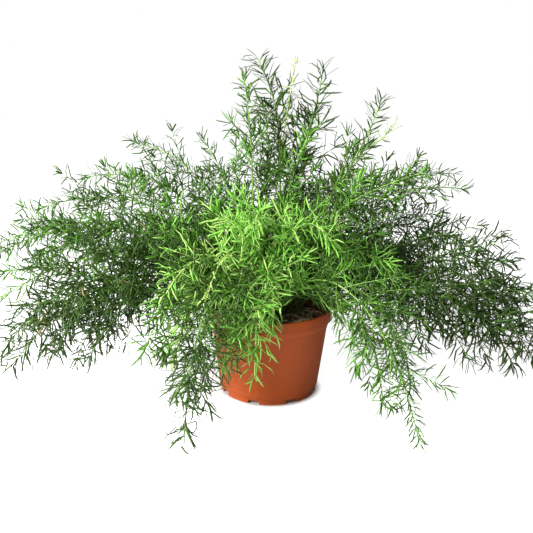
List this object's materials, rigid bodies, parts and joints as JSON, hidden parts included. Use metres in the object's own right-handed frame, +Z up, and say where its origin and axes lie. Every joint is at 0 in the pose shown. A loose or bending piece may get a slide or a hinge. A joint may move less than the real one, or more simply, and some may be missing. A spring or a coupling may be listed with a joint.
{
  "type": "potted sprengeri fern",
  "caption": "Asparagus fern with arching and trailing needle-leaved stems, growing from potting soil in a tapered terracotta-coloured plastic nursery pot.",
  "frame": {"origin": "centre of the pot's foot, on the surface the pot stands on", "axes": "+Z up, +X to the right along the plant's widest spread, +Y to the back, -Y to the side with the fewest stems, which faces the viewer"},
  "size_m": [0.6792, 0.4046, 0.4059],
  "materials": {
    "pot": "satin moulded plastic, terracotta colour",
    "soil": "loose damp bark and peat potting mix",
    "foliage": "dark green needles with a soft sheen on thin green canes",
    "young_foliage": "bright yellow-green new needles with a soft sheen"
  },
  "bodies": {
    "root": {"pot": "pot", "soil": "soil", "stem_01": "foliage", "stem_02": "foliage", "stem_03": "young_foliage", "stem_04": "foliage", "stem_05": "foliage", "stem_06": "foliage", "stem_07": "foliage", "stem_08": "young_foliage", "stem_09": "foliage", "stem_10": "foliage", "stem_11": "foliage", "stem_12": "foliage", "stem_13": "foliage", "stem_14": "foliage", "stem_15": "foliage", "stem_16": "foliage", "stem_17": "foliage", "stem_18": "foliage", "stem_19": "foliage", "stem_20": "foliage", "stem_21": "foliage", "stem_22": "foliage", "stem_23": "foliage", "stem_24": "foliage", "stem_25": "foliage", "stem_26": "foliage", "stem_27": "foliage", "stem_28": "foliage", "stem_29": "foliage", "stem_30": "foliage", "stem_31": "foliage", "stem_32": "foliage", "stem_33": "foliage", "stem_34": "foliage", "stem_35": "foliage", "stem_36": "foliage", "stem_37": "foliage", "stem_38": "young_foliage", "stem_39": "foliage", "stem_40": "foliage", "stem_41": "young_foliage", "stem_42": "young_foliage", "stem_43": "young_foliage", "stem_44": "young_foliage", "stem_45": "young_foliage", "stem_46": "young_foliage", "stem_47": "young_foliage", "stem_48": "young_foliage", "stem_49": "young_foliage", "stem_50": "young_foliage", "stem_51": "foliage", "stem_52": "foliage", "stem_53": "foliage", "stem_54": "foliage", "stem_55": "foliage", "stem_56": "foliage", "stem_57": "foliage", "stem_58": "foliage"}
  },
  "joints": []
}
